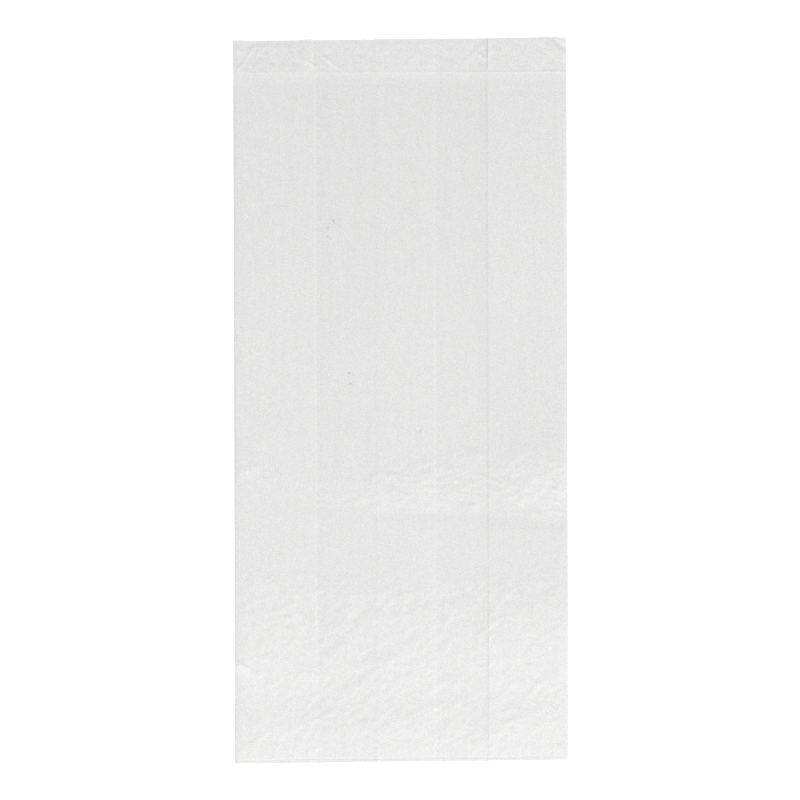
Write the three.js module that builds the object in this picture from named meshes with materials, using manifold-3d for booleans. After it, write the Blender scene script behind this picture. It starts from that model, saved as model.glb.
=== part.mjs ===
// A flat paper bag with side gussets, a stepped lip at its mouth, a lap seam down its back and a
// bottom that is folded over once onto the back.
// It lies on its back as it comes off the stack: X runs across, Y from the bottom fold to the mouth, Z up.
import * as THREE from "three";
import { mergeVertices } from "three/addons/utils/BufferGeometryUtils.js";
import Module from "manifold-3d";

const wasm = await Module();
wasm.setup();

// Driving sizes of the folded sheet, in millimetres
const bagWidth = 160;
const bagLength = 347;
const paper = 0.06;
const leftGusset = 39.5;
const rightGusset = 38;
const lipReach = 15.7;
const bottomFlap = 14;
const outOfSquare = 1;

// The lap seam, where the right edge of the sheet is glued over the left one
const seamLap = 28.3;
const seamCentre = 2.2;
const seamRun = 2.5;

// The toothed edge that the front leaf is torn along
const toothPitch = 2;
const toothDepth = 0.5;

// Air between neighbouring leaves, loose in the body and pressed at the bottom fold
const looseGap = 0.3;
const pressedGap = 0.05;
const glueLine = 0.04;
const closedEnd = 4;

// Where the front leaf steps down from the gussets to the middle, and how far, in leaf spacings
const stepRun = 3;
const stepDown = 1.3;

// Above the flap's end: how far the back stays up, where it is down on the table, and where leaves are loose
const rampStart = 1;
const rampLength = 22;
const looseningLength = 50;

// Mesh fineness: cells across and along the leaves, and the plain strip beside each fold
const foldMargin = 3;
const frontCell = 10;
const hiddenCell = 30;
const upperCell = 19;
const lowerCell = 11;
const bandCell = 5.5;
const foldSteps = 3;
const bottomSteps = 5;

// Creases that stand up from the front leaf: ends across and along the bag, height and half width
const creases = [
  { from: [-79, -37], to: [-48, -42], height: 0.6, reach: 7 },
  { from: [-52, -48], to: [79, -56], height: 0.55, reach: 7 },
  { from: [-30, -38], to: [62, -43], height: 0.35, reach: 6 },
  { from: [56, -37], to: [79, -46], height: 0.45, reach: 7 },
  { from: [-70, -116], to: [-30, -94], height: 0.3, reach: 10 },
  { from: [-71, -122], to: [-71, -139], height: 0.6, reach: 8 },
  { from: [4, -152], to: [36, -140], height: 0.3, reach: 10 },
  { from: [22, -122], to: [62, -100], height: 0.3, reach: 10 },
];
const bandTop = -30;
const bandBottom = -62;

// Bent corners of the lip: how far along the mouth and down the side the crease runs, and the tip's rise
const leftEar = { across: 10.5, down: 15, rise: 0.9 };
const rightEar = { across: 7, down: 6, rise: 1.2 };

const mouthY = bagLength / 2;
const bottomY = -bagLength / 2;
const frontEdgeY = mouthY - lipReach;
const sideX = bagWidth / 2;
const leftLine = -sideX + leftGusset;
const rightLine = sideX - rightGusset;
const outerLapX = seamCentre + seamLap / 2;
const innerLapX = seamCentre - seamLap / 2;

const pressedSpacing = paper + pressedGap;
const looseSpacing = paper + looseGap;
const flapStack = paper + 3 * pressedSpacing;
const foldCentreY = bottomY + glueLine / 2 + flapStack;
const foldCentreZ = glueLine / 2 + flapStack;
const flapEndY = bottomY + bottomFlap;
const rampStartY = flapEndY + rampStart;
const rampEndY = flapEndY + rampLength;

// Positions from the first mark to the last one, with every mark kept and no step over the cell given for it
function divide(marks, cells) {
  const found = [marks[0]];
  marks.slice(1).forEach((mark, k) => {
    const cell = Array.isArray(cells) ? cells[k] : cells;
    const steps = Math.max(1, Math.ceil(Math.abs(mark - marks[k]) / cell - 1e-6));
    for (let n = 1; n <= steps; n++) found.push(marks[k] + ((mark - marks[k]) * n) / steps);
  });
  return found;
}

// Distance from a point of the leaf to a crease
function distanceTo(crease, x, y) {
  const [ax, ay] = crease.from;
  const [dx, dy] = [crease.to[0] - ax, crease.to[1] - ay];
  const along = THREE.MathUtils.clamp(((x - ax) * dx + (y - ay) * dy) / (dx * dx + dy * dy), 0, 1);
  return Math.hypot(x - ax - along * dx, y - ay - along * dy);
}

function creaseHeight(x, y) {
  return Math.max(...creases.map((c) => c.height * Math.max(0, 1 - distanceTo(c, x, y) / c.reach)));
}

// Height of the front leaf's mid-line above the back's underside
function frontHeight(x, row) {
  const past = Math.min(x - leftLine, rightLine - x);
  const middle = THREE.MathUtils.smoothstep(past, 0, stepRun);
  const rise = row.inBody ? creaseHeight(x, row.y) : 0;
  return paper / 2 + row.spacing * (3 - stepDown * middle) + rise;
}

// A station of the section: a point of the ring, the way the sheet runs there, and the paper on either side
function station(x, height, heading, outside = paper / 2, inside = paper / 2) {
  return { x, height, nx: -Math.sin(heading), nz: Math.cos(heading), outside, inside };
}

// A round fold from one heading to another: clockwise at the bag's sides, and back at a gusset's depth
function fold(x, height, radius, fromHeading, toHeading) {
  const side = Math.sign(fromHeading - toHeading);
  const stations = [];
  for (let n = 0; n <= foldSteps; n++) {
    const at = station(0, 0, fromHeading + ((toHeading - fromHeading) * n) / foldSteps);
    at.x = x + side * radius * at.nx;
    at.height = height + side * radius * at.nz;
    stations.push(at);
  }
  return stations;
}

// Columns of each leaf: they keep the folds' edges, the seam's edges and the bent corners' creases
const leftMarginX = -sideX + foldMargin;
const rightMarginX = sideX - foldMargin;
const leftEarX = -sideX + leftEar.across;
const rightEarX = sideX - rightEar.across;
const backLeftColumns = divide([innerLapX - seamRun, leftLine, leftEarX, leftMarginX], hiddenCell);
const backRightColumns = divide([rightMarginX, rightEarX, rightLine, outerLapX + seamRun], hiddenCell);
const leftGussetColumns = divide([leftMarginX, leftEarX, leftLine - foldMargin], hiddenCell);
const rightGussetColumns = divide([rightLine + foldMargin, rightEarX, rightMarginX], hiddenCell);
const frontColumns = divide(
  [leftMarginX, leftLine, leftLine + stepRun, rightLine - stepRun, rightLine, rightMarginX],
  frontCell,
);

// The section's ring at one row: back leaf, left gusset, front leaf, right gusset, and back to the seam
function section(row) {
  const left = Math.PI;
  const radius = row.spacing / 2;
  const level = (n) => paper / 2 + n * row.spacing;
  const sideFoldX = sideX - radius - paper / 2;
  const leftDepthX = leftLine - radius - paper / 2;
  const rightDepthX = rightLine + radius + paper / 2;
  const bevel = paper / 2;
  const doubled = 1.5 * paper;
  return [
    station(outerLapX, level(0), left, paper / 2, doubled),
    station(innerLapX + bevel, level(0), left, paper / 2, doubled),
    station(innerLapX, level(0), left),
    ...backLeftColumns.map((x) => station(x, level(0), left)),
    ...fold(-sideFoldX, level(0.5), radius, left, 0),
    ...leftGussetColumns.map((x) => station(x, level(1), 0)),
    ...fold(leftDepthX, level(1.5), radius, 0, left),
    ...leftGussetColumns.toReversed().map((x) => station(x, level(2), left)),
    ...fold(-sideFoldX, level(2.5), radius, left, 0),
    ...frontColumns.map((x) => station(x, frontHeight(x, row), 0)),
    ...fold(sideFoldX, level(2.5), radius, 0, -left),
    ...rightGussetColumns.toReversed().map((x) => station(x, level(2), -left)),
    ...fold(rightDepthX, level(1.5), radius, -left, 0),
    ...rightGussetColumns.map((x) => station(x, level(1), 0)),
    ...fold(sideFoldX, level(0.5), radius, 0, -left),
    ...backRightColumns.map((x) => station(x, level(0), left)),
    station(outerLapX + bevel, level(0) + paper, left),
  ];
}

// Rows along the bag, from the mouth to the bottom fold, round it, and along the flap.
// Each has the place of the back's underside, the way up from it, and the leaves' spacing.
function bodyRow(y) {
  const loose = THREE.MathUtils.smoothstep(y, flapEndY, flapEndY + looseningLength);
  const lifted = 1 - THREE.MathUtils.smoothstep(y, rampStartY, rampEndY);
  return {
    y,
    z: lifted * (flapStack + glueLine),
    upY: 0,
    upZ: 1,
    spacing: THREE.MathUtils.lerp(pressedSpacing, looseSpacing, loose),
    inBody: true,
  };
}

function bottomRow(angle) {
  const upY = -Math.sin(angle);
  const upZ = Math.cos(angle);
  const y = foldCentreY + (upY * glueLine) / 2;
  const z = foldCentreZ + (upZ * glueLine) / 2;
  return { y, z, upY, upZ, spacing: pressedSpacing, inBody: false };
}

function flapRow(y) {
  return { y, z: flapStack, upY: 0, upZ: -1, spacing: pressedSpacing, inBody: false };
}

const bodyMarks = [
  mouthY,
  mouthY - rightEar.down,
  mouthY - leftEar.down,
  frontEdgeY - toothDepth,
  bandTop,
  bandBottom,
  rampEndY,
  rampStartY,
  foldCentreY,
];
const bodyCells = [
  upperCell,
  upperCell,
  upperCell,
  upperCell,
  bandCell,
  lowerCell,
  rampLength / 3,
  lowerCell,
];
const bottomAngles = divide([0, Math.PI], Math.PI / bottomSteps);
const rows = [
  ...divide(bodyMarks, bodyCells).map(bodyRow),
  ...bottomAngles.slice(1).map(bottomRow),
  flapRow(flapEndY - closedEnd),
  flapRow(flapEndY),
];

// One skin of the bag: a grid of points, a ring for each row, closed across its last row
class Skin {
  constructor(ringRows, pointOf) {
    this.rings = ringRows.map((row) => section(row).map((at) => pointOf(row, at)));
  }

  // Wall quads between neighbouring rings, then the polygon that closes the last ring
  faces(outward) {
    const found = [];
    const add = (a, b, c) => found.push(outward ? [a, c, b] : [a, b, c]);
    this.rings.slice(1).forEach((ring, k) => {
      const above = this.rings[k];
      ring.forEach((point, i) => {
        const next = (i + 1) % ring.length;
        add(above[i].p, above[next].p, point.p);
        add(above[next].p, ring[next].p, point.p);
      });
    });
    const last = this.rings.at(-1);
    const outline = last.map((point) => point.flat);
    const lid = THREE.ShapeUtils.triangulateShape(outline, []);
    lid.forEach(([a, b, c]) => add(last[a].p, last[c].p, last[b].p));
    return found;
  }
}

function skinPoint(row, at, away) {
  const flat = new THREE.Vector2(at.x + at.nx * away, at.height + at.nz * away);
  const p = new THREE.Vector3(flat.x, row.y + row.upY * flat.y, row.z + row.upZ * flat.y);
  return { p, flat };
}

// The glued bag before its mouth is cut: an outer and an inner skin, joined by a rim at the mouth.
// Inside, the glue closes the last stretch of the flap.
function foldedTube() {
  const outer = new Skin(rows, (row, at) => skinPoint(row, at, at.outside));
  const inner = new Skin(rows.slice(0, -1), (row, at) => skinPoint(row, at, -at.inside));
  const faces = [...outer.faces(true), ...inner.faces(false)];
  const [rimOut, rimIn] = [outer.rings[0], inner.rings[0]];
  rimOut.forEach((point, i) => {
    const next = (i + 1) % rimOut.length;
    faces.push([point.p, rimOut[next].p, rimIn[i].p]);
    faces.push([rimOut[next].p, rimIn[next].p, rimIn[i].p]);
  });
  return new THREE.BufferGeometry().setFromPoints(faces.flat());
}

// The toothed blade that takes the front leaf and the gussets' front halves off short of the lip
function frontBlade() {
  const reach = sideX + toothPitch;
  const teeth = Math.round((2 * reach) / toothPitch);
  const cut = new THREE.Shape();
  cut.moveTo(reach, mouthY + toothPitch);
  cut.lineTo(-reach, mouthY + toothPitch);
  for (let n = 0; n <= 2 * teeth; n++) {
    cut.lineTo(-reach + (n * reach) / teeth, frontEdgeY - (n % 2) * toothDepth);
  }
  const halfWay = paper / 2 + 1.5 * looseSpacing;
  const height = 3 * looseSpacing;
  return new THREE.ExtrudeGeometry(cut, { depth: height, bevelEnabled: false }).translate(0, 0, halfWay);
}

function solidOf(geometry) {
  const bare = new THREE.BufferGeometry().setAttribute("position", geometry.getAttribute("position"));
  if (geometry.index) bare.setIndex(geometry.index);
  const merged = mergeVertices(bare, 1e-4);
  const vertProperties = merged.attributes.position.array;
  const triVerts = new Uint32Array(merged.index.array);
  return new wasm.Manifold(new wasm.Mesh({ numProp: 3, vertProperties, triVerts }));
}

function geometryOf(solid) {
  const mesh = solid.getMesh();
  return new THREE.BufferGeometry()
    .setAttribute("position", new THREE.BufferAttribute(mesh.vertProperties, 3))
    .setIndex(new THREE.BufferAttribute(mesh.triVerts, 1));
}

// How far a bent corner of the lip has come up: nothing inside its crease, and the whole rise at the tip
function earRise(ear, fromSide, fromMouth) {
  return ear.rise * Math.max(0, 1 - fromSide / ear.across - fromMouth / ear.down);
}

// Bends up the lip's corners and leans the cut ends a little out of square with the sides
function handled(geometry) {
  const place = geometry.getAttribute("position");
  for (let i = 0; i < place.count; i++) {
    const [x, y, z] = [place.getX(i), place.getY(i), place.getZ(i)];
    const left = earRise(leftEar, x + sideX, mouthY - y);
    const right = earRise(rightEar, sideX - x, mouthY - y);
    place.setXYZ(i, x, y + (outOfSquare * x) / bagWidth, z + left + right);
  }
  return geometry;
}

const cutBag = solidOf(foldedTube()).subtract(solidOf(frontBlade()));
const glassine = new THREE.MeshStandardMaterial({ color: 0xe6e6e5, roughness: 0.6, metalness: 0 });
const bag = new THREE.Mesh(handled(geometryOf(cutBag)), glassine);
bag.name = "bag";

const root = new THREE.Group();
root.add(bag);

export default root;
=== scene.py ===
import math
import bmesh
import bpy
import numpy as np
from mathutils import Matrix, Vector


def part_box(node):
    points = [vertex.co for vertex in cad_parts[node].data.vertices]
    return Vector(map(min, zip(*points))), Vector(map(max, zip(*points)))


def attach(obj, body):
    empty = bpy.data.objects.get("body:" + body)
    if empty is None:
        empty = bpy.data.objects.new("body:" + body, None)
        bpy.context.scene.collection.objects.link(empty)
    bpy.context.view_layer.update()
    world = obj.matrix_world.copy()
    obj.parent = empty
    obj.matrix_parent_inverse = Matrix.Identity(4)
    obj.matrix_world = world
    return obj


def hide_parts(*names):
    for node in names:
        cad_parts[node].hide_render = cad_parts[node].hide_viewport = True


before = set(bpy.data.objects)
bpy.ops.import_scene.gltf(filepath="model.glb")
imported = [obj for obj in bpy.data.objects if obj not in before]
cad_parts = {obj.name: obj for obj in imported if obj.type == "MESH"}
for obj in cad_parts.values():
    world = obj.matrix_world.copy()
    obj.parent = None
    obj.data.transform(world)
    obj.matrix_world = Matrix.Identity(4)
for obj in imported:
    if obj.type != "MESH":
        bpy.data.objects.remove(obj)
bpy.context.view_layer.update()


# The sheet: one web of thin glassine paper, about 0.06 mm thick, folded flat into a tube.
# Two gussets are tucked in at the sides, and the front leaf is torn along a toothed knife
# short of the back one, so that a lip is left to open the mouth by.
MM = 0.001
low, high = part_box("bag")
# Both ends slant a little: by 1 mm over the width in the solids, and by 1.4 mm in the photo
solid_slant = 1.0
photo_slant = 1.4
bag_width = (high.x - low.x) / MM
bag_length = (high.y - low.y) / MM - solid_slant
side_x = bag_width / 2
mouth_y = bag_length / 2
bottom_y = -bag_length / 2
paper = 0.06
ply_spacing = 0.07
left_line = -side_x + 38.7
right_line = side_x - 38.0
front_edge_y = mouth_y - 15.7
tooth = 0.5
# Between the gussets the front leaf sinks onto the back one, over a short run at each fold
middle_drop = 0.125
left_run, right_run = 0.8, 0.5


def smooth(value, zero_at, one_at):
    share = np.clip((value - zero_at) / (one_at - zero_at), 0, 1)
    return share * share * (3 - 2 * share)


# Steps from each mark to the next, none of them longer than its cell
def divide(marks, cells):
    found = [np.array(marks[:1], float)]
    for start, end, cell in zip(marks, marks[1:], cells):
        steps = max(1, math.ceil(abs(end - start) / cell - 1e-6))
        found.append(start + (end - start) * np.arange(1, steps + 1) / steps)
    return np.concatenate(found)


# The lap seam: the right edge of the web is glued over the left one, a little to the right of the
# back's middle. The two plies there are one thickness of doubled paper, and the front leaf lies
# over their cut edges.
seam_middle = 2.2
half_seam = 28.3 / 2
seam_left = seam_middle - half_seam
seam_right = seam_middle + half_seam
lap_step = 0.05


def seam_relief(x):
    inner_edge = smooth(x, seam_left - 0.5, seam_left + 0.4)
    outer_edge = smooth(-x, -seam_right - 0.6, -seam_right + 0.4)
    slack = smooth(x, seam_right - 7, seam_right - 1)
    return outer_edge * (0.05 * inner_edge + 0.03 * slack)


# The gussets' folds: the front leaf sags a little beside them, and stands up along the right one,
# because the folded edges below it are springy.
def gusset_relief(x):
    from_left, from_right = x - left_line, right_line - x
    left_slack = 0.03 * smooth(from_left, left_run, 11) * (1 - smooth(from_left, 11, 30))
    right_slack = 0.03 * smooth(from_right, right_run, 6) * (1 - smooth(from_right, 6, 15))
    right_crest = 0.02 * smooth(-from_right, -0.3, 0.2) * (1 - smooth(-from_right, 0.4, 3))
    return left_slack + right_slack + right_crest


# The bottom: the flat tube is folded over once onto its back and glued, so four leaves go round
# the fold, the front one outermost, and the flap under the back is the bag's only thick place.
flap_length = 14.0
glue_line = 0.04
flap_stack = paper + 3 * ply_spacing
fold_y = bottom_y + glue_line / 2 + flap_stack
fold_z = glue_line / 2 + flap_stack
flap_end_y = bottom_y + flap_length
ramp_start_y = flap_end_y + 0.6
ramp_end_y = flap_end_y + 20


def hem_relief(x, y):
    scored_y = bottom_y + 2.0 + 0.15 * np.sin(x / 9)
    return -0.05 * np.clip(1 - np.abs(y - scored_y) / 0.45, 0, 1)


# The creases: handling has left a band of crumples across the bag where it was once bent over,
# fine slanting crumples below it, tucks at the bottom fold and bent corners at the lip.
noise_grids = {}
grid_size = 197
grid_shift = 90


def smooth_noise(x, y, cell_x, cell_y, seed):
    if seed not in noise_grids:
        noise_grids[seed] = np.random.default_rng(seed).uniform(-1, 1, (grid_size, grid_size))
    heights = noise_grids[seed]
    u, v = x / cell_x + grid_shift, y / cell_y + grid_shift
    i, j = np.floor(u).astype(int), np.floor(v).astype(int)
    fu, fv = smooth(u - i, 0, 1), smooth(v - j, 0, 1)
    i, j, i1, j1 = i % grid_size, j % grid_size, (i + 1) % grid_size, (j + 1) % grid_size
    lower = heights[i, j] * (1 - fu) + heights[i1, j] * fu
    upper = heights[i, j1] * (1 - fu) + heights[i1, j1] * fu
    return lower * (1 - fv) + upper * fv


# Crumples are ridges of noise drawn out along a slant, each of them steeper on one side
def crumple(x, y, slant, length, width, seed):
    angle = math.radians(slant)
    along = x * math.cos(angle) + y * math.sin(angle)
    over = y * math.cos(angle) - x * math.sin(angle)
    over = over + width * smooth_noise(along, over, 1.5 * length, 4 * width, seed + 1)
    even = 1 - np.abs(smooth_noise(along, over, length, width, seed))
    leaning = 1 - np.abs(smooth_noise(along, over + 0.35 * width * even, length, width, seed))
    return leaning * leaning


def patches(x, y, size, zero_at, one_at, seed):
    return smooth(smooth_noise(x, y, size, size, seed), zero_at, one_at)


def ridge(x, y, start, end, height, reach):
    (ax, ay), (bx, by) = start, end
    dx, dy = bx - ax, by - ay
    along = np.clip(((x - ax) * dx + (y - ay) * dy) / (dx * dx + dy * dy), 0, 1)
    away = np.hypot(x - ax - along * dx, y - ay - along * dy)
    return height * np.clip(1 - away / reach, 0, 1)


# The band lies between a wavy upper limit and the bend's own line, which slants to the right
def band_relief(x, y):
    share = (x + side_x) / bag_width
    top = -29 - 4 * np.sin(share * 5)
    bend = -47.8 - 11.5 * share + 0.8 * smooth_noise(x, y, 12, 60, 19)
    inside = smooth(top - y, -7, 7) * smooth(y - bend, -1, 7)
    strength = 0.35 + 0.45 * smooth(x, -45, 0) - 0.1 * smooth(x, 45, 70)
    fine = 0.12 * crumple(x, y, 20, 5.5, 1.6, 11) + 0.07 * crumple(x, y, -8, 4.0, 1.5, 13)
    wide = 0.18 * crumple(x, y, 18, 11, 3.2, 15) * patches(x, y, 11, -0.3, 0.3, 17)
    above = smooth(y - bend, 0, 16) * smooth(bend + 55 - y, 0, 35)
    below = smooth(bend - y, -1, 6) * smooth(y - bend + 45, 0, 38)
    valley = (0.12 + 0.10 * smooth(x, 20, 70)) * above + (0.03 + 0.09 * smooth(x, -40, 70)) * below
    return inside * strength * (fine + wide) + valley


def lower_relief(x, y):
    inside = smooth(-y, 74, 92) * smooth(y - bottom_y, 1, 8)
    patch = 0.6 + 0.4 * patches(x, y, 14, -0.3, 0.4, 27)
    fine = 0.09 * crumple(x, y, 50, 3.6, 1.4, 21) + 0.06 * crumple(x, y, 24, 3.0, 1.4, 23)
    wide = 0.11 * crumple(x, y, 42, 9, 3.2, 25)
    return inside * patch * (fine + wide)


def cockle(x, y):
    wide = smooth_noise(x, y, 22, 40, 31) + 0.6 * smooth_noise(x, y, 9, 14, 32)
    return 0.03 * (wide + 1.6)


# Creases that can be told apart: each is a straight ridge between two places on the sheet
named_ridges = [
    dict(start=(-77, -33.5), end=(-69, -30.5), height=0.08, reach=1.4),
    dict(start=(39.5, -36.8), end=(48.5, -40.6), height=0.14, reach=1.2),
    dict(start=(-40.6, -49.2), end=(-37, -48.4), height=0.10, reach=0.9),
    dict(start=(72.5, -43.0), end=(79.0, -46.0), height=0.15, reach=1.0),
    dict(start=(74.0, -49.0), end=(79.0, -51.3), height=0.15, reach=1.0),
    dict(start=(73.5, -53.5), end=(79.0, -55.5), height=0.15, reach=1.0),
    dict(start=(-79, -74), end=(-72, -122), height=0.08, reach=1.5),
    dict(start=(-58, -160), end=(-62, -171), height=0.12, reach=1.2),
    dict(start=(-12.6, -167), end=(-11.6, -172.5), height=0.22, reach=1.4),
    dict(start=(31.0, -162), end=(31.6, -173), height=0.22, reach=1.1),
    dict(start=(2, -152), end=(36, -141), height=0.06, reach=3.0),
    dict(start=(-74, -165), end=(-67, -160), height=0.10, reach=1.6),
    dict(start=(-24, -139), end=(6, -117), height=0.08, reach=5.0),
    dict(start=(-36, -124), end=(-14, -101), height=0.05, reach=4.0),
    dict(start=(67, -112), end=(78, -140), height=0.08, reach=4.0),
]
lip_ridges = [
    dict(start=(-69.9, 171.2), end=(-79.5, 157.2), height=0.16, reach=1.0),
    dict(start=(67.5, 173.1), end=(76.7, 161.1), height=0.10, reach=1.0),
    dict(start=(-46.7, 164.4), end=(-44.8, 163.0), height=0.14, reach=1.0),
    dict(start=(-42.9, 162.5), end=(-40.5, 160.8), height=0.18, reach=1.0),
    dict(start=(-36.1, 165.4), end=(-28.3, 158.9), height=0.20, reach=1.2),
    dict(start=(38.3, 165.9), end=(41.6, 163.5), height=0.20, reach=1.0),
    dict(start=(30, 161), end=(41, 172), height=0.08, reach=1.6),
]


# Two marks in the left edge: a slanted dent near the bottom and a pinch where the band begins
dent_y, dent_slant = -124.4, 0.53
pinch_y, pinch_slant = -39.3, 0.18


def edge_dent(x, y):
    across = x + side_x
    down = dent_y - dent_slant * across - y
    return 0.34 * smooth(down, -1.6, 0) * np.clip(1 - down / 8, 0, 1) * np.clip(1 - across / 8.5, 0, 1)


def edge_pinch(x, y):
    across = x + side_x
    up = y - pinch_y - pinch_slant * across
    rise = 0.26 * np.clip(up / 6, 0, 1) * (1 - smooth(up, 6, 24))
    wall = 0.09 * np.clip(1 - np.abs(up + 0.9) / 0.9, 0, 1)
    return (rise + wall) * smooth(across, 0, 1.5) * np.clip(1 - across / 12, 0, 1)


def front_relief(x, y):
    lifted = band_relief(x, y) + lower_relief(x, y) + cockle(x, y) + hem_relief(x, y)
    for crease in named_ridges:
        lifted = lifted + ridge(x, y, **crease)
    at_side = smooth(side_x - np.abs(x), 0, 5)
    at_mouth = smooth(front_edge_y - y, -2, 14)
    seam = seam_relief(x) * (1 - 0.4 * smooth(-y, 90, 130))
    return at_side * at_mouth * (lifted + seam) + edge_dent(x, y) + edge_pinch(x, y) + gusset_relief(x)


def lip_relief(x, y):
    handled = 0.08 * crumple(x, y, -40, 4.5, 1.8, 51) + 0.06 * crumple(x, y, 35, 4.0, 1.8, 53)
    handled = handled + 0.08 * smooth(np.abs(x - seam_middle), half_seam + 0.55, half_seam - 0.25)
    for crease in lip_ridges:
        handled = handled + ridge(x, y, **crease)
    curl = 0.06 * smooth(y, mouth_y - 4, mouth_y + 1) * smooth(-np.abs(x), -42, -30)
    flatter = 1 - 0.6 * smooth(y, mouth_y - 3.5, mouth_y)
    return smooth(y, front_edge_y + 0.3, front_edge_y + 4) * (handled * flatter + curl)


# On the lip the gussets' folded edges are free of the front leaf, and spring up a little
def gusset_spring(x, y):
    from_left, from_right = left_line - x, x - right_line
    left_fold = 0.24 * smooth(from_left, -0.6, 0.5) * (1 - smooth(from_left, 0.5, 12))
    right_fold = 0.24 * (1 - smooth(from_right, 0, 2.2)) * smooth(from_right, -5, -4)
    left_rise = smooth(y, front_edge_y + 0.1, front_edge_y + 7)
    return left_rise * left_fold + smooth(y, front_edge_y + 0.1, front_edge_y + 2.5) * right_fold


def corner_rise(across, down, rise, from_side, from_mouth):
    return rise * np.clip(1 - from_side / across - from_mouth / down, 0, None)


# Behind the right corner's crease the paper bulges: steeply at first, then falling slowly
crease_across, crease_down, crease_depth = 7, 6, 4.55


def corner_bulge(from_side, from_mouth):
    inward = (from_side / crease_across + from_mouth / crease_down - 1) * crease_depth
    return 0.26 * np.clip(inward / 1.7, 0, 1) * np.clip((7 - inward) / 5.3, 0, 1)


# The folded sheet as a mesh: stations run once round the tube and rows run along it.
# Each has a point on either face of the paper, and every free edge is closed by its cut face.
class Row:
    def __init__(self, y, z, up_y, up_z, in_body):
        self.y, self.z, self.up_y, self.up_z = y, z, up_y, up_z
        self.in_body = in_body


def body_row(y):
    lifted = 1 - smooth(y, ramp_start_y, ramp_end_y)
    return Row(y, lifted * (flap_stack + glue_line), 0, 1, True)


def bottom_row(angle):
    up_y, up_z = -math.sin(angle), math.cos(angle)
    half = glue_line / 2
    return Row(fold_y + up_y * half, fold_z + up_z * half, up_y, up_z, False)


def flap_row(y):
    return Row(y, flap_stack, 0, -1, False)


# Rows stand closest on the lip, in the band of crumples and near the bottom
press_reach = 8
band_top_y, band_low_y, crumpled_y, hem_top_y = -25, -59, -72, bottom_y + 3.4
body_marks = [
    mouth_y, front_edge_y, front_edge_y - press_reach, band_top_y, band_low_y, crumpled_y,
    ramp_start_y, hem_top_y, fold_y,
]
body_ys = divide(body_marks, [0.65, 1.0, 2.6, 0.8, 1.4, 0.8, 0.8, 0.3])
front_row = int(np.argmin(np.abs(body_ys - front_edge_y)))
fold_row = len(body_ys) - 1
rows = [body_row(y) for y in body_ys]
rows += [bottom_row(angle) for angle in divide([0, math.pi], [math.pi / 8])[1:]]
rows += [flap_row(y) for y in divide([fold_y, flap_end_y], [3])[1:]]

margin = 2.0
leaf_cell = 0.95
front_marks = [
    -side_x + margin, left_line - 0.3, left_line + left_run, seam_left - 0.6, seam_left + 0.6,
    seam_right - 0.6, seam_right + 0.8, right_line - right_run, right_line + 0.6, side_x - margin,
]
front_cells = [leaf_cell, 0.28, leaf_cell, 0.3, leaf_cell, 0.35, leaf_cell, 0.24, leaf_cell]
front_xs = divide(front_marks, front_cells)
lip_cell = 0.75
back_left_xs = divide([seam_left - lip_cell, left_line, -side_x + margin], [lip_cell, lip_cell])
back_right_xs = divide([side_x - margin, right_line, seam_right + lip_cell], [lip_cell, lip_cell])
seam_xs = divide([seam_right, seam_left + lap_step], [lip_cell])
left_xs = divide([-side_x + margin, left_line - 1.2, left_line - 0.35], [lip_cell, 0.45])
right_xs = divide([right_line + 0.4, side_x - margin], [lip_cell])
hidden_cell = 6
hidden_left_xs = divide([left_line - margin, -side_x + margin], [hidden_cell])
hidden_right_xs = divide([side_x - margin, right_line + margin], [hidden_cell])


# One turn round the tube, as points on the paper's outer and inner faces
class Ring:
    def __init__(self, row):
        self.row = row
        self.outer, self.inner, self.leaves = [], [], []

    def put(self, x, height, nx, nz, outside=paper / 2, inside=paper / 2):
        self.outer.append((x + nx * outside, height + nz * outside))
        self.inner.append((x - nx * inside, height - nz * inside))

    def leaf(self, xs, height, facing, inside=paper / 2):
        self.leaves.append(range(len(self.outer), len(self.outer) + len(xs)))
        for x, level in zip(xs, np.broadcast_to(height, xs.shape)):
            self.put(x, level, 0, facing, inside=inside)
        return self.leaves[-1]

    def fold(self, x, height, start, end, steps=4):
        radius = ply_spacing / 2
        turn = math.copysign(1, start - end)
        for heading in np.linspace(start, end, steps + 1):
            nx, nz = -math.sin(heading), math.cos(heading)
            self.put(x + turn * radius * nx, height + turn * radius * nz, nx, nz)
        return len(self.outer) - 1 - steps // 2


# The ring starts at the seam's outer edge and goes left: the seam's two plies are drawn as one of
# double thickness, and each leaf has the level that it has in the flat stack.
def ring_of(row):
    ring = Ring(row)
    radius = ply_spacing / 2
    side = side_x - radius - paper / 2
    half_turn = math.pi

    def level(n):
        return paper / 2 + n * ply_spacing

    ring.leaf(seam_xs, level(0), -1, inside=1.5 * paper)
    ring.put(seam_left, level(0), 0, -1)
    ring.leaf(back_left_xs, level(0), -1)
    ring.fold(-side, level(0.5), half_turn, 0)
    ring.left = ring.leaf(left_xs, level(1), 1)
    ring.left_tip = ring.fold(left_line - radius - paper / 2, level(1.5), 0, half_turn)
    ring.leaf(hidden_left_xs, level(2), -1)
    ring.fold(-side, level(2.5), half_turn, 0)
    softer = 1 + smooth(-row.y, 100, 150)
    middle = smooth(front_xs - left_line, 0, left_run * softer)
    middle = middle * smooth(right_line - front_xs, 0, right_run * softer)
    front = level(3) - middle_drop * middle
    if row.in_body:
        front = front + front_relief(front_xs, np.full(front_xs.shape, row.y))
    ring.front = ring.leaf(front_xs, front, 1)
    ring.fold(side, level(2.5), 0, -half_turn)
    ring.leaf(hidden_right_xs, level(2), -1)
    ring.right_tip = ring.fold(right_line + radius + paper / 2, level(1.5), -half_turn, 0)
    ring.right = ring.leaf(right_xs, level(1), 1)
    ring.fold(side, level(0.5), 0, -half_turn)
    ring.leaf(back_right_xs, level(0), -1)
    ring.put(seam_right + lap_step, level(0) + paper, 0, -1)
    return ring


rings = [ring_of(row) for row in rows]
stations = len(rings[0].outer)


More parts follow.
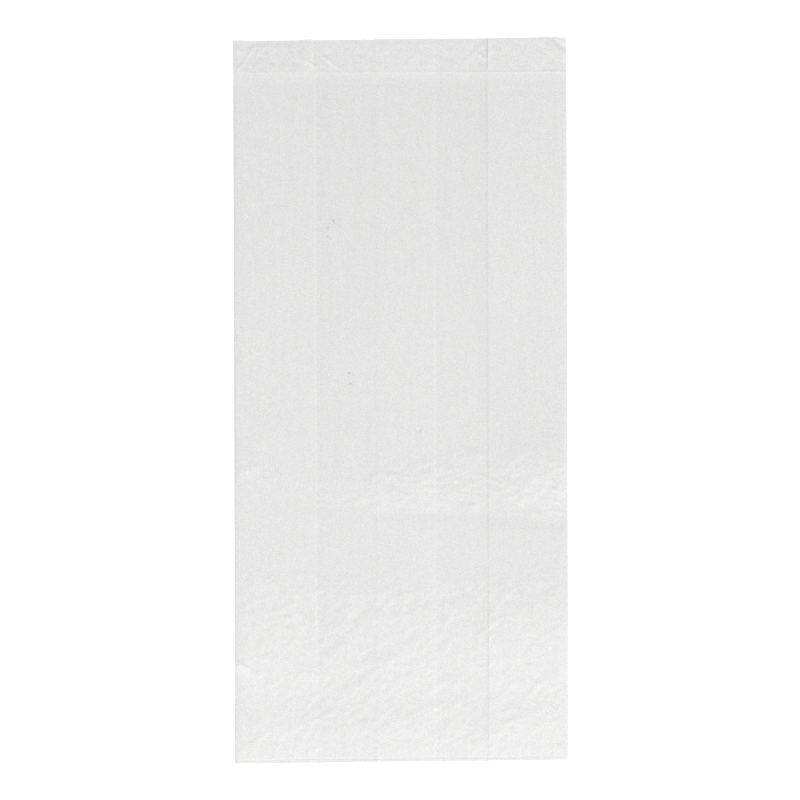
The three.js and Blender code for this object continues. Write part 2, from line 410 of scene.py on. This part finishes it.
def placed(row, skin):
    x, height = np.array(skin).T
    return np.stack([x, row.y + row.up_y * height, row.z + row.up_z * height], axis=1)


points = np.array([[placed(r.row, r.outer), placed(r.row, r.inner)] for r in rings])

# The knife has cut the front leaf and the gussets' upper plies, in small uneven teeth
first_cut, last_cut = rings[0].left_tip, rings[0].right_tip
front_columns = np.arange(first_cut, last_cut + 1)
chance = np.random.default_rng(41).uniform(0.3, 1.1, len(front_columns))
teeth = (np.arange(len(front_columns)) % 2) * tooth * chance
points[front_row, :, front_columns, 1] -= teeth[:, None]

# The lip has its own creases, and its gusset folds spring up
x, y, z = points[..., 0], points[..., 1], points[..., 2]
on_lip = np.ones(stations, bool)
on_lip[first_cut:last_cut + 1] = False
z[:, :, on_lip] += lip_relief(x[:, :, on_lip], y[:, :, on_lip])
for ply in (slice(rings[0].left[0], first_cut + 1), slice(last_cut, rings[0].right[-1] + 1)):
    z[:, :, ply] += gusset_spring(x[:, :, ply], y[:, :, ply])

# Near its torn edge the front leaf lies pressed down onto what is below it
upper = np.s_[front_row:fold_row, :, first_cut:last_cut + 1]
on_back = (x[upper] > left_line) & (x[upper] < right_line)
lip_top = np.where(on_back, paper, paper + ply_spacing)
pressed = 0.2 + 0.8 * np.clip((front_edge_y - y[upper]) / press_reach, 0, 1)
z[upper] = lip_top + (z[upper] - lip_top) * pressed

# The mouth's corners stand up, the right one behind a crease and bent in by a trifle
from_mouth = mouth_y - y
z += corner_rise(10.5, 15, 0.3, x + side_x, from_mouth)
z += corner_rise(crease_across, crease_down, 0.6, side_x - x, from_mouth)
z += corner_bulge(side_x - x, from_mouth) * smooth(y, front_edge_y + 3, front_edge_y + 8)
y -= 0.8 * smooth(x, 75.9, 76.8) * smooth(y, mouth_y - 5, mouth_y)
y += photo_slant * x / bag_width


# Cells of the two faces: small ones where the front leaf and the lip are seen, and large ones in
# the hidden leaves. A cell's outline takes in every corner of its neighbours, so no gap is left.
front = rings[0].front
last_row = len(rows) - 1
hidden_rows, hidden_stations = 8, 10
block_rows = list(range(front_row, fold_row, hidden_rows)) + [fold_row]
inside_leaves = {s for leaf in rings[0].leaves for s in leaf[1:-1] if (s - leaf[0]) % hidden_stations}
stops = [s for s in range(stations) if s not in inside_leaves] + [stations]


def cells_of(skin):
    cells = []
    for r in range(front_row):
        cells += [(r, r + 1, s, s + 1) for s in range(stations) if not first_cut <= s < last_cut]
    for r0, r1 in zip(block_rows, block_rows[1:]):
        step = 2 if skin and r0 > front_row else 1
        for s0, s1 in zip(stops, stops[1:]):
            if s0 in front and s1 in front:
                for r in range(r0, r1, step):
                    cells += [(r, min(r + step, r1), s, min(s + step, s1)) for s in range(s0, s1, step)]
            else:
                cells.append((r0, r1, s0, s1))
    for r in range(fold_row, last_row):
        cells += [(r, r + 1, s0, s1) for s0, s1 in zip(stops, stops[1:])]
    return cells


cells = [cells_of(0), cells_of(1)]
used = np.zeros((2, len(rows), stations), bool)
for skin in (0, 1):
    for r0, r1, s0, s1 in cells[skin]:
        used[skin, [r0, r0, r1, r1], [s0, s1 % stations, s0, s1 % stations]] = True
number = np.cumsum(used.ravel()).reshape(used.shape) - 1


def corners(skin, path):
    return [int(number[skin, r, s % stations]) for r, s in path if used[skin, r, s % stations]]


def outline(skin, r0, r1, s0, s1):
    path = [(r, s0) for r in range(r0, r1)] + [(r1, s) for s in range(s0, s1)]
    path += [(r, s1) for r in range(r1, r0, -1)] + [(r0, s) for s in range(s1, s0, -1)]
    return corners(skin, path if skin == 0 else path[::-1])


def walls(path):
    shared = [k for k, (r, s) in enumerate(path) if used[:, r, s % stations].all()]
    pieces = [path[a:b + 1] for a, b in zip(shared, shared[1:])]
    return [corners(0, piece) + corners(1, piece[::-1]) for piece in pieces]


faces = [outline(skin, *cell) for skin in (0, 1) for cell in cells[skin]]
faces += walls([(0, s) for s in range(last_cut, stations + first_cut + 1)])
faces += walls([(r, first_cut) for r in range(front_row + 1)])
faces += walls([(front_row, s) for s in range(first_cut, last_cut + 1)])
faces += walls([(r, last_cut) for r in range(front_row, -1, -1)])
faces += walls([(last_row, s) for s in range(stations, -1, -1)])


def placed_object(name, data):
    made = bpy.data.objects.new(name, data)
    bpy.context.scene.collection.objects.link(made)
    return made


both = points.transpose(1, 0, 2, 3)[used] * MM
mesh = bpy.data.meshes.new("folded_bag")
mesh.from_pydata(both.tolist(), [], faces)
mesh.update()
bag = placed_object("folded_bag", mesh)

work = bmesh.new()
work.from_mesh(mesh)
bmesh.ops.recalc_face_normals(work, faces=work.faces)
bmesh.ops.triangulate(work, faces=work.faces)
work.to_mesh(mesh)
work.free()
for polygon in mesh.polygons:
    polygon.use_smooth = True
mesh.set_sharp_from_angle(angle=math.radians(30))
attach(bag, "root")
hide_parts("bag")


# The paper's finish: white glassine, half see-through and slightly glossy, with a fine fibre
# grain, faint stripes along the web, small dark specks in the pulp and a bright fleck.
class Value:
    tree = None

    def __init__(self, socket):
        self.socket = socket

    @classmethod
    def node(cls, kind, settings=(), inputs=(), output=0):
        made = cls.tree.nodes.new(kind)
        for name, setting in dict(settings).items():
            setattr(made, name, setting)
        for name, given in dict(inputs).items():
            socket = made.inputs[name]
            if isinstance(given, Value):
                cls.tree.links.new(given.socket, socket)
            else:
                socket.default_value = given
        return cls(made.outputs[output]) if made.outputs else None

    def maths(self, operation, other, swapped=False):
        pair = (other, self) if swapped else (self, other)
        return Value.node("ShaderNodeMath", {"operation": operation}, {0: pair[0], 1: pair[1]})

    def __add__(self, other):
        return self.maths("ADD", other)

    def __sub__(self, other):
        return self.maths("SUBTRACT", other)

    def __rsub__(self, other):
        return self.maths("SUBTRACT", other, swapped=True)

    def __mul__(self, other):
        return self.maths("MULTIPLY", other)

    __radd__, __rmul__ = __add__, __mul__


def new_material(name):
    made = bpy.data.materials.new(name)
    made.use_nodes = True
    Value.tree = made.node_tree
    Value.tree.nodes.clear()
    return made


def vector_maths(operation, first, second):
    return Value.node("ShaderNodeVectorMath", {"operation": operation}, {0: first, 1: second})


glassine = new_material("glassine")
place = Value.node("ShaderNodeTexCoord", output="Object")
across_bag = Value.node("ShaderNodeSeparateXYZ", {}, {"Vector": place}, output="X")
along_bag = Value.node("ShaderNodeSeparateXYZ", {}, {"Vector": place}, output="Y")
# The pattern is read at one level for the whole sheet, so its folds and creases don't stretch it
flat_place = vector_maths("MULTIPLY", place, (1.0, 1.0, 0.0))
sheet_place = vector_maths("ADD", flat_place, (0.0, 0.0, 0.31 * MM))


def stretched(turn, along, across):
    inputs = {"Vector": sheet_place, "Angle": math.radians(-turn)}
    turned = Value.node("ShaderNodeVectorRotate", {"rotation_type": "Z_AXIS"}, inputs, output="Vector")
    return vector_maths("MULTIPLY", turned, (along, across, 1.0))


def noise(vector, scale, detail):
    inputs = {"Vector": vector, "Scale": scale, "Detail": detail, "Roughness": 0.6}
    return Value.node("ShaderNodeTexNoise", {}, inputs, output="Fac")


def fade(value, zero_at, one_at):
    inputs = {"Value": value, "From Min": zero_at, "From Max": one_at, "To Min": 0.0, "To Max": 1.0}
    settings = {"interpolation_type": "SMOOTHSTEP"}
    return Value.node("ShaderNodeMapRange", settings, inputs, output="Result")


def step_at(value, position, width):
    return fade(value, (position - width / 2) * MM, (position + width / 2) * MM)


# Thin lines along one slant, for the painted highlights on crease ridges
def crease_highlight_lines(turn, along, scale):
    away = (noise(stretched(turn, along, 1.0), scale, 2.0) - 0.5).maths("ABSOLUTE", 0.0)
    return fade(away, 0.07, 0.0)


grain = noise(sheet_place, 2300.0, 1.0)
stripes = noise(stretched(0, 1.0, 0.05), 520.0, 2.0)
clouds = noise(sheet_place, 110.0, 3.0)
tone = 1 + (grain - 0.5) * 0.5 + (stripes - 0.5) * 0.05 + (clouds - 0.5) * 0.025

# More light comes back where more leaves lie close together, in the gussets and in the seam.
# Beside the gussets' folds the leaves stand apart, and the paper there is painted a little darker:
# painted shade at the foot of each fold's step. Towards the seam's outer edge the paper is painted
# lighter: a painted highlight where it slopes over that edge.
past_left = step_at(across_bag, left_line + 0.6, 1.2)
before_right = 1 - step_at(across_bag, right_line - 0.3, 0.8)
# Painted shade beside each gusset's fold
left_fold_shade = past_left * (1 - step_at(across_bag, left_line + 6, 11))
right_fold_shade = before_right * step_at(across_bag, right_line - 4, 7)
in_seam = step_at(across_bag, seam_left, 1.0) * (1 - step_at(across_bag, seam_right + 0.3, 0.8))
# Painted highlight growing towards the seam's outer edge
seam_edge_highlight = step_at(across_bag, seam_right - 6, 12) * in_seam
tone = tone - past_left * before_right * 0.013 - left_fold_shade * 0.010 - right_fold_shade * 0.012
tone = tone + in_seam * 0.006 + seam_edge_highlight * 0.008

# A painted highlight lies along the front leaf's torn edge, brightest at its rim, and the lip's foot
# just past that edge is painted darker, a painted shadow of the edge. On the lip the paper is a little
# lighter right of the left gusset's fold, and lighter towards that fold from its left.
past_edge = step_at(along_bag, front_edge_y, 0.2)
behind_edge = 1 - past_edge
# Painted highlight along the torn edge and at its rim
torn_edge_highlight = step_at(along_bag, front_edge_y - 2.4, 4.0) * behind_edge
torn_rim_highlight = step_at(along_bag, front_edge_y - 0.7, 0.8) * behind_edge
at_left_fold = step_at(across_bag, left_line - 5, 9) * (1 - step_at(across_bag, left_line, 0.3))
lip_tone = step_at(across_bag, left_line, 0.5) * 0.018 + at_left_fold * 0.03 + 0.004
near_edge_highlight = step_at(along_bag, front_edge_y - 7, 12.0) * behind_edge
# Painted shadow on the lip's foot
lip_foot_shadow = past_edge * (1 - step_at(along_bag, front_edge_y + 4, 3.0))
tone = tone + torn_edge_highlight * 0.03 + torn_rim_highlight * 0.04 + near_edge_highlight * 0.034 - lip_foot_shadow * 0.025
tone = tone + past_edge * lip_tone
right_side = step_at(across_bag, right_line + 0.3, 0.8) * (1 - step_at(along_bag, 25.0, 60.0))
tone = tone - right_side * step_at(along_bag, -105.0, 34.0) * 0.026

# Fine light lines along the crumples' creases, in the band where the bag was bent over and in its lower
# part, are painted highlights on the crease ridges. The band is lighter towards its right end, and the
# whole of the bottom is a little lighter.
band = step_at(along_bag, -52.0, 5.0) * (1 - step_at(along_bag, -31.0, 8.0))
band = band * step_at(across_bag, -20.0, 90.0)
lower_crumpled = 1 - step_at(along_bag, -88.0, 24.0)
bottom = 1 - step_at(along_bag, -113.0, 34.0)
band_crease_highlights = crease_highlight_lines(20, 0.3, 420.0) * band
lower_crease_highlights = crease_highlight_lines(48, 0.4, 520.0) * lower_crumpled
band_end = step_at(across_bag, 58.0, 30.0) * band
# Painted highlights on the crease ridges; the band's right end and the bottom are lighter
tone = tone + band_crease_highlights * 0.022 + band_end * 0.028 + lower_crease_highlights * 0.014 + bottom * 0.020
# Painted highlight on the slope below the dent in the left edge
slanted = along_bag + across_bag * dent_slant
dent_slope_highlight = (1 - step_at(slanted, -167.0, 0.8)) * step_at(slanted, -172.5, 6.0)
tone = tone + dent_slope_highlight * (1 - step_at(across_bag, -side_x + 6.8, 2.0)) * 0.07

# Each speck has its place on the sheet, its radius in mm and how much darker it is than the paper
specks = [
    (-32.3, 86.7, 0.9, 0.40), (-31.6, 85.6, 1.0, 0.26), (-34.9, 83.3, 1.0, 0.20),
    (-34.9, 79.0, 0.9, 0.17), (-33.6, 77.9, 0.9, 0.16), (-24.8, 13.4, 0.9, 0.46),
    (-22.6, 12.4, 0.8, 0.13), (-24.3, 8.4, 0.8, 0.34), (9.3, -14.5, 1.1, 0.24),
    (21.7, 136.6, 1.4, -0.09), (-72.9, -153.1, 1.0, 0.07), (-39.7, -45.3, 0.8, 0.12),
]
for speck_x, speck_y, radius, depth in specks:
    ends = {0: flat_place, 1: (speck_x * MM, speck_y * MM, 0.0)}
    away = Value.node("ShaderNodeVectorMath", {"operation": "DISTANCE"}, ends, output="Value")
    tone = tone - fade(away, radius * MM, 0.0) * depth

toned = {0: (0.779, 0.779, 0.776), "Scale": tone}
colour = Value.node("ShaderNodeVectorMath", {"operation": "SCALE"}, toned, output="Vector")
fibres = {"Strength": 0.3, "Distance": 0.04 * MM, "Height": grain + stripes * 0.5}
bump = Value.node("ShaderNodeBump", {}, fibres, output="Normal")
surface = {
    "Base Color": colour, "Normal": bump,
    "Roughness": 0.65, "Specular IOR Level": 0.15, "Alpha": 0.9,
}
shader = Value.node("ShaderNodeBsdfPrincipled", {}, surface)
Value.node("ShaderNodeOutputMaterial", {}, {"Surface": shader})
mesh.materials.append(glassine)


# The floor: a plain white sweep, wide enough for every view. Seen straight or in a reflection it is
# lifted to full white, and it still takes the bag's own soft shadow.
floor_mesh = bpy.data.meshes.new("floor")
reach = 30.0
floor_corners = [(-reach, -reach, 0), (reach, -reach, 0), (reach, reach, 0), (-reach, reach, 0)]
floor_mesh.from_pydata(floor_corners, [], [(0, 1, 2, 3)])
floor = placed_object("floor", floor_mesh)
floor.location.z = -0.02 * MM
white = new_material("white_floor")
seen = Value.node("ShaderNodeLightPath", output="Is Camera Ray")
for kind in ("Is Glossy Ray", "Is Transmission Ray"):
    seen = seen + Value.node("ShaderNodeLightPath", output=kind)
diffuse = Value.node("ShaderNodeBsdfDiffuse", {}, {"Color": (0.86, 0.86, 0.86, 1.0)})
glow = Value.node("ShaderNodeEmission", {}, {"Color": (1.0, 1.0, 1.0, 1.0), "Strength": seen * 0.35})
lit = Value.node("ShaderNodeAddShader", {}, {0: diffuse, 1: glow})
Value.node("ShaderNodeOutputMaterial", {}, {"Surface": lit})
floor_mesh.materials.append(white)


# The light: a soft white room, with one large lamp low in front of the bag and to its right,
# which picks out its folds and crumples.
world = bpy.data.worlds.new("soft_room")
bpy.context.scene.world = world
world.use_nodes = True
background = world.node_tree.nodes["Background"]
background.inputs["Color"].default_value = (1.0, 1.0, 1.0, 1.0)
background.inputs["Strength"].default_value = 0.6

lamp_data = bpy.data.lights.new("soft_lamp", "AREA")
lamp_data.shape = "RECTANGLE"
lamp_data.size, lamp_data.size_y = 1.1, 1.1
lamp_data.energy = 157.0
lamp = placed_object("soft_lamp", lamp_data)
lamp.location = (1.2, -3.1, 1.8)
aim = -lamp.location
lamp.rotation_euler = aim.to_track_quat("-Z", "Y").to_euler()


# The camera: straight above the bag, far off with a long lens, as a product is photographed.
# The bag lies a trifle off the middle of the picture and is turned by a fraction of a degree.
photo_pixels = 800
pixels_per_mm = 2.083
lens, sensor = 200.0, 36.0
off_centre = 0.44 * MM
camera_roll = math.radians(-0.17)
view_width = photo_pixels / pixels_per_mm * MM
camera_data = bpy.data.cameras.new("camera")
camera_data.lens, camera_data.sensor_width = lens, sensor
camera = placed_object("camera", camera_data)
camera.location = (-off_centre, off_centre, view_width * lens / sensor)
camera.rotation_euler = (0.0, 0.0, camera_roll)
camera_data.clip_end = 100.0
bpy.context.scene.camera = camera
bpy.context.scene.view_settings.view_transform = "Standard"
